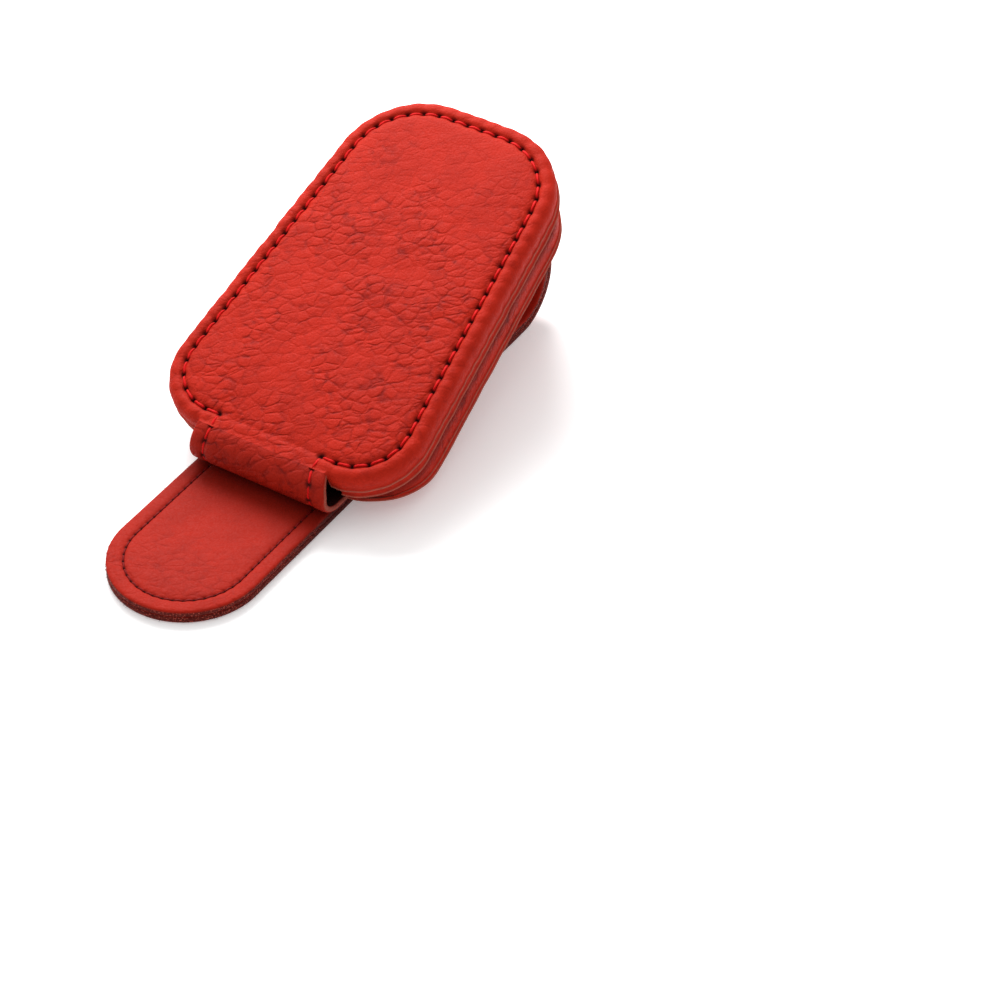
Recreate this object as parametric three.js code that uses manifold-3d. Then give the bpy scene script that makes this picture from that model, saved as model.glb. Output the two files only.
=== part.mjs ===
// Magnetic leather sunglasses clip for a car sun visor, closed and lying on its clip arm.
// Millimetres. X across the clip, Y along it (the tongue points to -Y), Z up, floor at Z = 0.
// The two pads share one tilted frame: S runs along the pad, N stands on its outer face.
import * as THREE from "three";
import { mergeVertices } from "three/addons/utils/BufferGeometryUtils.js";
import Module from "manifold-3d";

const wasm = await Module();
wasm.setup();

const GAP = 0.3; // clearance left between pieces that touch

const LENGTH = 118.7; // tongue tip to the far lower edge of the base, centred on Y = 0

// Pads
const PAD_TILT = THREE.MathUtils.degToRad(21.4);
const PAD_HEIGHT = 27.0; // of the flap's outer face at S = 0
const PAD_FAR = 40.2; // S of the free end
const PAD_NEAR = -41.6; // S of the end that carries the neck
const PAD_HALF_WIDTH = 25.3; // at S = 0
const PAD_TAPER = -0.0772; // change of half width per mm of S
const FAR_CORNER = 16.9;
const NEAR_CORNER = 12.9;
const LEATHER = 1.3;
const SEAM_INSET = 3.1;

// Flap, depths below its outer face
const FLAP_SKIN_DEPTH = 4.2;
const FLAP_LINING_TOP = 4.5;
const FLAP_DEPTH = 6.4;
const EDGE_ROUND = 1.2;

// Base pad, depths below the outer face of the flap
const BASE_TOP = 8.0;
const BASE_TOP_NEAR = 6.9; // at the neck
const BASE_BOTTOM = 15.0;
const BASE_INSET = 1.2; // the base pad is this much smaller all round
const BASE_LINING = 1.5;
const BASE_BEND = -26.6; // S where the underside turns level with the floor

// Magnets, one pair in each pad
const MAGNET_RADIUS = 5;
const MAGNET_THICK = 2; // magnets stand in round pockets in the stiffeners
const MAGNET_S = { far: 24, near: -16 };
const FLAP_MAGNET_N = -3.9; // of each magnet's lower face
const BASE_MAGNET_N = -12;

// Neck, a leather strap rolled from the flap skin into the base lining
const NECK_HALF_WIDTH = 14.5;
const NECK_RADIUS = 4.5;
const NECK_THICK = 1.4;
const NECK_HINGES = 4; // evenly spread lines across the strap where it bends
const NECK_TAB = 6; // length of strap that lies flat under the base
const BORE_SETBACK = 4.5; // pad layers stop this far short of the neck
const LINK_TRIM = GAP / 2 / NECK_RADIUS; // half the gap between neighbouring links, as an angle

// Clip: a spring leaf between two leathers, bent back on itself
const CLIP_HALF_WIDTH = 15;
const CLIP_TIP = -LENGTH / 2;
const CLIP_THICK = 2.9;
const CLIP_OUTER = [0, 1.0];
const CLIP_LEAF = [1.2, 1.8];
const CLIP_INNER = [2.0, CLIP_THICK];
const LEAF_HALF_WIDTH = 9;
const LEAF_TIP = CLIP_TIP + 10.7;
const BEND_RADIUS = 10.6;
const CLIP_ROOT_END = -6; // S where the fixed arm stops
const CLIP_SEAM_INSET = 3.2;
const RIVET_S = { near: 2, far: 17 };
const RIVET_SHANK = 1.2;
const RIVET_HEAD = 2.8;
const RIVET_HEAD_THICK = 0.6;
const RIVET_INSIDE = -(BASE_BOTTOM - BASE_LINING - GAP); // N of the head inside the base

const THREAD_RADIUS = 0.25;
const GROOVE_RADIUS = 0.5;
const SEAM_STEPS = 100;
const ARC_STEPS = 14; // on the clip's bend and its rounded tongue

const CLEAR = 60; // longer than any half width, length or depth that a cutting solid has to cross
const MARGIN = 1; // how far a cutting solid runs past the face that it trims
const WHOLE_TURN = 2 * Math.PI;

// Unit vectors and origin of the pad frame
const ALONG_X = new THREE.Vector3(1, 0, 0);
const ALONG_S = new THREE.Vector3(0, Math.cos(PAD_TILT), Math.sin(PAD_TILT));
const ALONG_N = new THREE.Vector3(0, -Math.sin(PAD_TILT), Math.cos(PAD_TILT));
const BASE_REACH = (PAD_FAR - BASE_INSET) * ALONG_S.y - BASE_BOTTOM * ALONG_N.y;
const PAD_CENTRE = new THREE.Vector3(0, LENGTH / 2 - BASE_REACH, PAD_HEIGHT);

const PAD_FRAME = new THREE.Matrix4().makeBasis(ALONG_X, ALONG_S, ALONG_N).setPosition(PAD_CENTRE);
const SIDE_IN_PAD = new THREE.Matrix4().makeBasis(ALONG_S, ALONG_N, ALONG_X).setPosition(PAD_CENTRE);
const SIDE_UPRIGHT = new THREE.Matrix4().makeBasis(
  new THREE.Vector3(0, 1, 0),
  new THREE.Vector3(0, 0, 1),
  ALONG_X,
);
const PLAN = new THREE.Matrix4();

// Y of a round thing whose centre is at height z and at depth n below the flap's outer face.
function yAtDepth(z, n) {
  const rise = (z - PAD_CENTRE.z) * Math.cos(PAD_TILT);
  return PAD_CENTRE.y + (rise + n) / Math.sin(PAD_TILT);
}

const NECK_Z = CLIP_THICK + GAP + NECK_RADIUS;
const NECK_Y = yAtDepth(NECK_Z, NECK_RADIUS);
const BEND_Z = BEND_RADIUS;
const BEND_Y = yAtDepth(BEND_Z, BASE_BOTTOM + GAP + BEND_RADIUS);
const NECK_START = 1.5 * Math.PI; // where the neck leaves the base lining
const NECK_END = Math.PI / 2 + PAD_TILT; // where it runs into the flap skin
const BEND_START = -Math.PI / 2;
const BEND_END = Math.PI / 2 + PAD_TILT;
const BEND_MIDDLE = (BEND_START + BEND_END) / 2;

// ---- solids -------------------------------------------------------------

function solid(geometry) {
  const bare = geometry.clone();
  bare.deleteAttribute("normal");
  bare.deleteAttribute("uv");
  const merged = mergeVertices(bare, 1e-4);
  return new wasm.Manifold(
    new wasm.Mesh({
      numProp: 3,
      vertProperties: merged.attributes.position.array,
      triVerts: new Uint32Array(merged.index.array),
    }),
  );
}

function extruded(shape, from, to, frame, curveSegments = 10) {
  const geometry = new THREE.ExtrudeGeometry(shape, {
    depth: to - from,
    bevelEnabled: false,
    curveSegments,
  });
  geometry.translate(0, 0, from);
  return solid(geometry.applyMatrix4(frame));
}

function padPrism(shape, from, to) {
  return extruded(shape, from, to, PAD_FRAME);
}

function padBlock(halfWidth, sFrom, sTo, nFrom, nTo) {
  return padPrism(rectangle(-halfWidth, halfWidth, sFrom, sTo), nFrom, nTo);
}

function rod(s, radius, nFrom, nTo) {
  const circle = new THREE.Shape().absarc(0, s, radius, 0, WHOLE_TURN);
  return padPrism(circle, nFrom, nTo);
}

// A round cord along a curve given in the frame it is built in.
function cord(curve, radius, steps, frame) {
  const section = new THREE.Shape().absarc(0, 0, radius, 0, WHOLE_TURN);
  const geometry = new THREE.ExtrudeGeometry(section, {
    extrudePath: curve,
    steps,
    curveSegments: 3,
    bevelEnabled: false,
  });
  return solid(geometry.applyMatrix4(frame));
}

// ---- outlines -----------------------------------------------------------

function rectangle(left, right, bottom, top) {
  return new THREE.Shape()
    .moveTo(left, bottom)
    .lineTo(right, bottom)
    .lineTo(right, top)
    .lineTo(left, top)
    .closePath();
}

// Adds the tapered rounded outline of a pad to a path, counter-clockwise from its near right corner.
function traceCorners(path, inset) {
  const lean = Math.atan(-PAD_TAPER);
  const slant = Math.hypot(1, PAD_TAPER);
  const corner = (end, outerRadius) => {
    const radius = outerRadius - inset;
    const s = end > 0 ? PAD_FAR - outerRadius : PAD_NEAR + outerRadius;
    const x = PAD_HALF_WIDTH + PAD_TAPER * s - (inset + radius) * slant;
    return { x, s, radius };
  };
  const near = corner(-1, NEAR_CORNER);
  const far = corner(1, FAR_CORNER);
  path.absarc(near.x, near.s, near.radius, -Math.PI / 2, lean);
  path.absarc(far.x, far.s, far.radius, lean, Math.PI / 2);
  path.absarc(-far.x, far.s, far.radius, Math.PI / 2, Math.PI - lean);
  path.absarc(-near.x, near.s, near.radius, Math.PI - lean, NECK_START);
  return path;
}

function padOutline(inset = 0) {
  return traceCorners(new THREE.Shape(), inset).closePath();
}

// The seam round a pad, open across the neck, lying at height n.
function padSeam(n, inset = SEAM_INSET) {
  const end = NECK_HALF_WIDTH - SEAM_INSET;
  const path = new THREE.Path().moveTo(end, PAD_NEAR + inset).lineTo(end + MARGIN, PAD_NEAR + inset);
  traceCorners(path, inset).lineTo(-end, PAD_NEAR + inset);
  const points = path.getSpacedPoints(SEAM_STEPS).map((p) => new THREE.Vector3(p.x, p.y, n));
  return new THREE.CatmullRomCurve3(points);
}

function tonguePlan(halfWidth, tip, root) {
  return new THREE.Shape()
    .moveTo(halfWidth, root)
    .lineTo(-halfWidth, root)
    .absarc(0, tip + halfWidth, halfWidth, Math.PI, WHOLE_TURN)
    .closePath();
}

// Underside and upper side of the base pad, as N over S.
function baseUnderside(s) {
  const level = Math.max(0, BASE_BEND - s) * Math.tan(PAD_TILT);
  return level - BASE_BOTTOM;
}

function baseUpperside(s) {
  const share = Math.max(0, (BASE_BEND - s) / (BASE_BEND - PAD_NEAR));
  return -THREE.MathUtils.lerp(BASE_TOP, BASE_TOP_NEAR, share);
}

// A slab of the base between two side curves, ending at sNear.
function baseSlab(lower, upper, sNear = PAD_NEAR - MARGIN) {
  const stations = [sNear, BASE_BEND, PAD_FAR + MARGIN].filter((s) => s >= sNear);
  const underside = stations.map((s) => new THREE.Vector2(s, lower(s)));
  const upperside = stations.map((s) => new THREE.Vector2(s, upper(s))).reverse();
  return extruded(new THREE.Shape([...underside, ...upperside]), -CLEAR, CLEAR, SIDE_IN_PAD);
}

// ---- neck ---------------------------------------------------------------

function neckHingeAngle(k) {
  const step = (NECK_START - NECK_END) / NECK_HINGES;
  return NECK_START - (k - 0.5) * step;
}

// Part of the rolled strap between two angles, seen from the side.
function neckArc(high, low) {
  const inner = NECK_RADIUS - NECK_THICK;
  const side = new THREE.Shape()
    .absarc(NECK_Y, NECK_Z, NECK_RADIUS, low, high)
    .absarc(NECK_Y, NECK_Z, inner, high, low, true)
    .closePath();
  return extruded(side, -NECK_HALF_WIDTH, NECK_HALF_WIDTH, SIDE_UPRIGHT, 5);
}

function neckLink(k) {
  return neckArc(neckHingeAngle(k) - LINK_TRIM, neckHingeAngle(k + 1) + LINK_TRIM);
}

// The pad layers are cut back behind the neck so that its roll stays hollow.
function boreCut(nFrom, nTo) {
  return padBlock(NECK_HALF_WIDTH + GAP, PAD_NEAR - CLEAR, PAD_NEAR + BORE_SETBACK, nFrom, nTo);
}

// ---- flap ---------------------------------------------------------------

function flapSkin() {
  const rounded = new THREE.ExtrudeGeometry(padOutline(), {
    depth: FLAP_DEPTH - 2 * EDGE_ROUND,
    bevelThickness: EDGE_ROUND,
    bevelSize: EDGE_ROUND,
    bevelOffset: -EDGE_ROUND,
    bevelSegments: 3,
    curveSegments: 10,
  });
  rounded.translate(0, 0, EDGE_ROUND - FLAP_DEPTH);
  const hollow = padPrism(padOutline(LEATHER), -CLEAR, -NECK_THICK);
  const neckTab = padBlock(NECK_HALF_WIDTH, PAD_NEAR - GAP / 2, PAD_NEAR + 2 * EDGE_ROUND, -NECK_THICK, 0);
  const neckStart = neckArc(neckHingeAngle(NECK_HINGES) - LINK_TRIM, NECK_END - LINK_TRIM);
  return solid(rounded.applyMatrix4(PAD_FRAME))
    .subtract(hollow)
    .subtract(padBlock(CLEAR, -CLEAR, CLEAR, -CLEAR, -FLAP_SKIN_DEPTH))
    .subtract(boreCut(-CLEAR, -NECK_THICK))
    .add(neckTab)
    .add(neckStart)
    .subtract(cord(padSeam(0), GROOVE_RADIUS, SEAM_STEPS, PAD_FRAME));
}

function flapCore() {
  let core = padPrism(padOutline(LEATHER + GAP), -FLAP_SKIN_DEPTH, -NECK_THICK - GAP);
  for (const s of Object.values(MAGNET_S))
    core = core.subtract(rod(s, MAGNET_RADIUS + GAP, -CLEAR, CLEAR));
  return core.subtract(boreCut(-CLEAR, CLEAR));
}

function flapLining() {
  return padPrism(padOutline(), -FLAP_DEPTH, -FLAP_LINING_TOP).subtract(boreCut(-CLEAR, CLEAR));
}

function flapThread() {
  return cord(padSeam(0), THREAD_RADIUS, SEAM_STEPS, PAD_FRAME);
}

// ---- base ---------------------------------------------------------------

const CORE_START = BASE_BEND + MARGIN; // the stiffener stops short of the bend in the underside
const aboveLining = (s) => baseUnderside(s) + BASE_LINING + GAP;

function baseSkin() {
  const outer = baseSlab(aboveLining, baseUpperside).intersect(padPrism(padOutline(BASE_INSET), -CLEAR, 0));
  const room = baseSlab(
    (s) => baseUnderside(s) - MARGIN,
    (s) => baseUpperside(s) - LEATHER,
    CORE_START - GAP,
  ).intersect(padPrism(padOutline(BASE_INSET + LEATHER), -CLEAR, 0));
  return outer
    .subtract(room)
    .subtract(boreCut(-CLEAR, 0))
    .subtract(cord(padSeam(-BASE_TOP, BASE_INSET + SEAM_INSET), GROOVE_RADIUS, SEAM_STEPS, PAD_FRAME));
}

function baseCore() {
  let core = baseSlab(
    aboveLining,
    (s) => baseUpperside(s) - LEATHER - GAP,
    CORE_START,
  ).intersect(padPrism(padOutline(BASE_INSET + LEATHER + GAP), -CLEAR, 0));
  for (const s of Object.values(MAGNET_S)) core = core.subtract(rod(s, MAGNET_RADIUS + GAP, -CLEAR, 0));
  for (const s of Object.values(RIVET_S))
    core = core.subtract(rod(s, RIVET_HEAD + GAP, -CLEAR, RIVET_INSIDE + RIVET_HEAD_THICK + GAP));
  return core;
}

function baseLining() {
  let lining = baseSlab(baseUnderside, (s) => baseUnderside(s) + BASE_LINING).intersect(
    padPrism(padOutline(BASE_INSET), -CLEAR, 0),
  );
  const bottom = NECK_Z - NECK_RADIUS;
  const tab = rectangle(NECK_Y - GAP / 2, NECK_Y + NECK_TAB, bottom, bottom + NECK_THICK);
  lining = lining
    .add(extruded(tab, -NECK_HALF_WIDTH, NECK_HALF_WIDTH, SIDE_UPRIGHT))
    .add(neckArc(NECK_START, neckHingeAngle(1) + LINK_TRIM));
  for (const s of Object.values(RIVET_S)) lining = lining.subtract(rod(s, RIVET_SHANK + GAP, -CLEAR, 0));
  return lining;
}

function baseThread() {
  return cord(padSeam(-BASE_TOP, BASE_INSET + SEAM_INSET), THREAD_RADIUS, SEAM_STEPS, PAD_FRAME);
}

function magnet(s, nFrom) {
  return rod(s, MAGNET_RADIUS, nFrom, nFrom + MAGNET_THICK);
}

// ---- clip ---------------------------------------------------------------

// The free arm of one layer, from its tip to the middle of the bend.
function clipArmSide([from, to], tip) {
  const end = BEND_MIDDLE - GAP / 2 / BEND_RADIUS;
  return new THREE.Shape()
    .moveTo(tip, from)
    .lineTo(BEND_Y, from)
    .absarc(BEND_Y, BEND_Z, BEND_RADIUS - from, BEND_START, end)
    .absarc(BEND_Y, BEND_Z, BEND_RADIUS - to, end, BEND_START, true)
    .lineTo(tip, to)
    .closePath();
}

// The fixed arm of one layer, from the middle of the bend to its end under the base.
function clipRootSide([from, to]) {
  const start = BEND_MIDDLE + GAP / 2 / BEND_RADIUS;
  const armEnd = (depth) => {
    const n = -(BASE_BOTTOM + GAP + depth);
    return PAD_CENTRE.clone().addScaledVector(ALONG_S, CLIP_ROOT_END).addScaledVector(ALONG_N, n);
  };
  const outer = armEnd(from);
  const inner = armEnd(to);
  return new THREE.Shape()
    .absarc(BEND_Y, BEND_Z, BEND_RADIUS - from, start, BEND_END)
    .lineTo(outer.y, outer.z)
    .lineTo(inner.y, inner.z)
    .absarc(BEND_Y, BEND_Z, BEND_RADIUS - to, BEND_END, start, true)
    .closePath();
}

function clipArm(layer, halfWidth, tip) {
  const plan = tonguePlan(halfWidth, tip, BEND_Y + BEND_RADIUS + MARGIN);
  return extruded(clipArmSide(layer, tip - MARGIN), -CLEAR, CLEAR, SIDE_UPRIGHT, ARC_STEPS).intersect(
    extruded(plan, -MARGIN, CLEAR, PLAN, ARC_STEPS),
  );
}

function clipRoot(layer, halfWidth) {
  let root = extruded(clipRootSide(layer), -halfWidth, halfWidth, SIDE_UPRIGHT, ARC_STEPS);
  for (const s of Object.values(RIVET_S)) root = root.subtract(rod(s, RIVET_SHANK + GAP, -CLEAR, 0));
  return root;
}

// The seam runs down one side of the free arm, round the tongue and back.
function clipSeam() {
  const halfWidth = CLIP_HALF_WIDTH - CLIP_SEAM_INSET;
  const path = new THREE.Path()
    .moveTo(-halfWidth, BEND_Y)
    .lineTo(-halfWidth, CLIP_TIP + CLIP_HALF_WIDTH)
    .absarc(0, CLIP_TIP + CLIP_HALF_WIDTH, halfWidth, Math.PI, WHOLE_TURN)
    .lineTo(halfWidth, BEND_Y);
  const height = CLIP_THICK - GAP / 2;
  return new THREE.CatmullRomCurve3(
    path.getSpacedPoints(SEAM_STEPS).map((p) => new THREE.Vector3(p.x, p.y, height)),
  );
}

function clipInnerArm() {
  return clipArm(CLIP_INNER, CLIP_HALF_WIDTH, CLIP_TIP).subtract(
    cord(clipSeam(), GROOVE_RADIUS, SEAM_STEPS, PLAN),
  );
}

function rivet(s) {
  const visorSide = -(BASE_BOTTOM + GAP + CLIP_THICK + GAP);
  const bite = RIVET_HEAD_THICK / 2;
  return rod(s, RIVET_SHANK, visorSide - bite, RIVET_INSIDE + bite)
    .add(rod(s, RIVET_HEAD, visorSide - RIVET_HEAD_THICK, visorSide))
    .add(rod(s, RIVET_HEAD, RIVET_INSIDE, RIVET_INSIDE + RIVET_HEAD_THICK));
}

// ---- assembly -----------------------------------------------------------

const COLOURS = {
  leather: 0xc8382c,
  cutEdge: 0xb4564a,
  thread: 0xe02828,
  board: 0x8a7a66,
  magnet: 0x9aa0a6,
  steel: 0x8d9299,
  brass: 0xb8a070,
};

const group = new THREE.Group();

function addNode(name, body, colour, roughness = 0.7, metalness = 0) {
  const mesh = body.getMesh();
  const geometry = new THREE.BufferGeometry();
  geometry.setAttribute("position", new THREE.BufferAttribute(new Float32Array(mesh.vertProperties), 3));
  geometry.setIndex(new THREE.BufferAttribute(new Uint32Array(mesh.triVerts), 1));
  geometry.computeVertexNormals();
  const material = new THREE.MeshStandardMaterial({ color: colour, roughness, metalness });
  const node = new THREE.Mesh(geometry, material);
  node.name = name;
  group.add(node);
}

addNode("flap_skin", flapSkin(), COLOURS.leather);
addNode("flap_core", flapCore(), COLOURS.board, 0.9);
addNode("flap_lining", flapLining(), COLOURS.leather);
addNode("flap_thread", flapThread(), COLOURS.thread);
addNode("base_skin", baseSkin(), COLOURS.leather);
addNode("base_core", baseCore(), COLOURS.board, 0.9);
addNode("base_lining", baseLining(), COLOURS.leather);
addNode("base_thread", baseThread(), COLOURS.thread);
for (const [end, s] of Object.entries(MAGNET_S)) {
  addNode(`flap_magnet_${end}`, magnet(s, FLAP_MAGNET_N), COLOURS.magnet, 0.35, 1);
  addNode(`base_magnet_${end}`, magnet(s, BASE_MAGNET_N), COLOURS.magnet, 0.35, 1);
}
for (let k = 1; k < NECK_HINGES; k++) addNode(`neck_link_${k}`, neckLink(k), COLOURS.leather);
addNode("clip_leaf_arm", clipArm(CLIP_LEAF, LEAF_HALF_WIDTH, LEAF_TIP), COLOURS.steel, 0.35, 1);
addNode("clip_leaf_root", clipRoot(CLIP_LEAF, LEAF_HALF_WIDTH), COLOURS.steel, 0.35, 1);
addNode("clip_outer_arm", clipArm(CLIP_OUTER, CLIP_HALF_WIDTH, CLIP_TIP), COLOURS.leather);
addNode("clip_outer_root", clipRoot(CLIP_OUTER, CLIP_HALF_WIDTH), COLOURS.leather);
addNode("clip_inner_arm", clipInnerArm(), COLOURS.cutEdge);
addNode("clip_inner_root", clipRoot(CLIP_INNER, CLIP_HALF_WIDTH), COLOURS.cutEdge);
addNode("clip_thread", cord(clipSeam(), THREAD_RADIUS, SEAM_STEPS, PLAN), COLOURS.thread);
for (const [end, s] of Object.entries(RIVET_S)) addNode(`clip_rivet_${end}`, rivet(s), COLOURS.brass, 0.3, 1);

export default group;
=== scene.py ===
"""Looks of the folding leather glasses clip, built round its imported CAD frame.

Lengths in this file are millimetres until a mesh is made; Blender objects are in metres.
The pads share one tilted frame: S runs along the pad, N stands on the flap's outer face.
A leather surface carries its own flat coordinates, so that its grain runs on over bends and joins.
"""
import math

import bpy
import numpy as np
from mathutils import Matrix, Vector


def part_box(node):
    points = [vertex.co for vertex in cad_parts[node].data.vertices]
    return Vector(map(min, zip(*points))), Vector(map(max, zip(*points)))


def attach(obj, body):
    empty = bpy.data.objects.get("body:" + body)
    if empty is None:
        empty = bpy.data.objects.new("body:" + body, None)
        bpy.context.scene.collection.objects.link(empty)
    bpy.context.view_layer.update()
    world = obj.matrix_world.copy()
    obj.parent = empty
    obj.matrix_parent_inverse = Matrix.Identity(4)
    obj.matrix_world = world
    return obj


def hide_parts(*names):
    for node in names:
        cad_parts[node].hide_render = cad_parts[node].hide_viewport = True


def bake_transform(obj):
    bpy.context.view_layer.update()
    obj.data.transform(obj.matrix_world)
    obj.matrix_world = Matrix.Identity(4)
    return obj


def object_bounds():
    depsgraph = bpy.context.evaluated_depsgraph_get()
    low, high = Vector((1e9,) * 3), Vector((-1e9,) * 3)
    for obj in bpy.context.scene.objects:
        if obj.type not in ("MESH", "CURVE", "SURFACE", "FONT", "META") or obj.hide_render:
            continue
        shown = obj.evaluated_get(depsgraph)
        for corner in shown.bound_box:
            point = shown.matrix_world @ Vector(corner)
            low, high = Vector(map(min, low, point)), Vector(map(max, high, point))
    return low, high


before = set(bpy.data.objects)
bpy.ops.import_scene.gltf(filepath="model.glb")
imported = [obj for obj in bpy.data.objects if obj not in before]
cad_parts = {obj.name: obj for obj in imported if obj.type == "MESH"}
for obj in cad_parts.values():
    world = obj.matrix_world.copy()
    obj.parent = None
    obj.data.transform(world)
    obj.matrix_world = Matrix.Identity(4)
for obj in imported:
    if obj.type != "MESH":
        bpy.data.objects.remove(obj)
CAD_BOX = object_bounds()
MM = 0.001
rng = np.random.default_rng(7)

# Camera
LENS = 108
AZIMUTH, ELEVATION = math.radians(32.25), math.radians(41.19)
TARGET = Vector((0.03789, 0.00139, 0))
DISTANCE = 0.5591

# Light
LIT_FROM = (-0.58, 0.56, 0.85)
SKY_DIM, SKY_BRIGHT = 0.12, 1.20
TABLE_GLOW = 0.24

# Pads
PAD_FAR, PAD_NEAR = 40.2, -41.6
PAD_HALF_WIDTH, PAD_TAPER = 25.3, -0.0772
FAR_CORNER, NEAR_CORNER = 16.9, 12.9
TIGHTEST_CORNER = 1.0
SEAM_INSET = 3.1
NECK_HALF_WIDTH = 14.5
MAGNET_NEAR_S = -16
FLAP_MAGNET_MIDDLE = -2.9
BASE_INSET = 1.2
BASE_BOTTOM = -15.0
BASE_BEND, BASE_EASE = -26.6, 1.6
BASE_TOP, BASE_TOP_NEAR = -8.0, -6.9
BASE_CROWN = 0.14
SETBACK = 4.5
PAD_MIDDLE = 21.5
EDGE_WAVE = (6, 40, 0.06)

# Neck
NECK_RADIUS, NECK_THICK = 4.5, 1.4
NECK_SEAM_X = 11.4
NECK_PIECES = 4
NECK_BULGE, NECK_BULGE_HEIGHT = (math.radians(125), math.radians(262)), 0.5
NECK_SPREAD, NECK_SPREAD_ANGLE = 1.5, math.radians(60)
NECK_TAB = 3.2
# the rolled strap's outer face is mixed this much towards the near-black flesh colour
STRAP_DARKENING = 0.22

# Clip
CLIP_HALF_WIDTH, CLIP_THICK = 15.0, 2.9
BEND_RADIUS = 10.6
CLIP_ROOT_END = -6.0
CLIP_GAP = 0.3
CLIP_SEAM_INSET = 3.2
# how far along the tongue and how dark the painted shadow under the neck's roll reaches
ROLL_SHADOW_REACH, ROLL_SHADOW_DARK = 9.5, 0.5
LEAF_HALF_WIDTH, LEAF_SETBACK = 9.0, 10.7
ROOT_CORNER = 2.0

# Columns along each stretch of half an outline
NEAR_EDGE, NEAR_ARC, SIDE, FAR_ARC, FAR_EDGE = 48, 64, 190, 90, 16
TIP_ARC, ARM_SIDE, ROOT_ARC, ROOT_EDGE = 50, 220, 8, 20
PAD_STRAIGHT = (NEAR_EDGE, FAR_EDGE)
CLIP_STRAIGHT = (0, ROOT_EDGE)

# Seams
STITCHES = 63
CLIP_STITCHES = 115
HOLE_LENGTH, HOLE_WIDTH = 0.66, 0.45
# the second number sets how far the painted shade spreads round each needle hole
HOLE_DEPTH, HOLE_SHADE_SPREAD = 0.55, 1.7
SEAM_THREAD_DEPTH = 0.36
INSIDE_SEAM_N = -6.34
PADDING = 0.18
PLY_DEPTH, PLY_TURNS = 0.16, 1.5

# Loose fibres on the tongue's raw edge
FIBRES, FIBRE_CLEARANCE = 420, 0.02


# ---- frames -----------------------------------------------------------------

def middle_of(node):
    low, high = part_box(node)
    return (low + high) / 2 / MM


magnet_near = middle_of("flap_magnet_near")
ALONG_S = (middle_of("flap_magnet_far") - magnet_near).normalized()
PAD_TILT = math.atan2(ALONG_S.z, ALONG_S.y)
ALONG_N = Vector((0, -math.sin(PAD_TILT), math.cos(PAD_TILT)))
PAD_CENTRE = magnet_near - ALONG_S * MAGNET_NEAR_S - ALONG_N * FLAP_MAGNET_MIDDLE
LENGTH = (CAD_BOX[1].y - CAD_BOX[0].y) / MM
CLIP_TIP = -LENGTH / 2


def y_at_depth(z, depth):
    """Y of a round thing whose centre is at height z and that far below the flap's outer face."""
    rise = (z - PAD_CENTRE.z) * math.cos(PAD_TILT)
    return PAD_CENTRE.y + (rise + depth) / math.sin(PAD_TILT)


NECK_Z = CLIP_THICK + CLIP_GAP + NECK_RADIUS
NECK_Y = y_at_depth(NECK_Z, NECK_RADIUS)
BEND_Z = BEND_RADIUS
BEND_Y = y_at_depth(BEND_Z, CLIP_GAP - BASE_BOTTOM + BEND_RADIUS)
NECK_ARC = (1.5 * math.pi, math.pi / 2 + PAD_TILT)
NECK_TOP_S = (NECK_Y - PAD_CENTRE.y) * ALONG_S.y + (NECK_Z - PAD_CENTRE.z) * ALONG_S.z


def pad_to_world(flat):
    """Points given as X, S, N in the pad frame, in the row frame."""
    s, n = flat[..., 1:2], flat[..., 2:3]
    return np.array(PAD_CENTRE) + flat[..., :1] * (1, 0, 0) + s * np.array(ALONG_S) + n * np.array(ALONG_N)


def neck_to_world(flat):
    """Points on the rolled strap given as X, S and N; S runs on from the flap's face round the roll.

    The hand-rolled strap bulges a little at the front and spreads on its right.
    """
    angle = NECK_ARC[1] + (NECK_TOP_S - flat[..., 1]) / NECK_RADIUS
    front = np.sin(math.pi * np.clip((angle - NECK_BULGE[0]) / (NECK_BULGE[1] - NECK_BULGE[0]), 0, 1)) ** 2
    spread = np.clip((angle - NECK_ARC[1]) / NECK_SPREAD_ANGLE, 0, 1) * NECK_SPREAD / NECK_HALF_WIDTH
    radius = NECK_RADIUS + flat[..., 2] + NECK_BULGE_HEIGHT * front
    x = flat[..., 0] + spread * np.maximum(flat[..., 0], 0)
    under_base = np.maximum(angle - NECK_ARC[0], 0) * NECK_RADIUS
    angle = np.minimum(angle, NECK_ARC[0])
    y = NECK_Y + radius * np.cos(angle) + under_base
    z = NECK_Z + radius * np.sin(angle)
    return np.stack([x, y, z], axis=-1)


CLIP_MIDDLE_RADIUS = BEND_RADIUS - CLIP_THICK / 2
BEND_TURN = math.pi + PAD_TILT
CLIP_FLAT = BEND_Y - CLIP_TIP
CLIP_BENT = CLIP_FLAT + BEND_TURN * CLIP_MIDDLE_RADIUS
ROOT_START_S = (BEND_Y - PAD_CENTRE.y) * ALONG_S.y + (BEND_Z - PAD_CENTRE.z) * ALONG_S.z
CLIP_LENGTH = CLIP_BENT + ROOT_START_S - CLIP_ROOT_END


def clip_to_world(flat):
    """Points on the clip given as X, U and N, in the row frame.

    U runs from the tongue's tip round the bend, and N from the clip's outer face.
    """
    u, n = flat[..., 1], flat[..., 2]
    angle = np.clip((u - CLIP_FLAT) / CLIP_MIDDLE_RADIUS, 0, BEND_TURN) - math.pi / 2
    on_arm = np.minimum(u - CLIP_FLAT, 0)
    on_root = np.maximum(u - CLIP_BENT, 0)
    y = BEND_Y + (BEND_RADIUS - n) * np.cos(angle) + on_arm - on_root * ALONG_S.y
    z = BEND_Z + (BEND_RADIUS - n) * np.sin(angle) - on_root * ALONG_S.z
    return np.stack([flat[..., 0], y, z], axis=-1)


# ---- outlines, each as a closed ring of columns -------------------------------

def line(start, end, count):
    share = np.arange(count)[:, None] / count
    return np.array(start) * (1 - share) + np.array(end) * share


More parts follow.
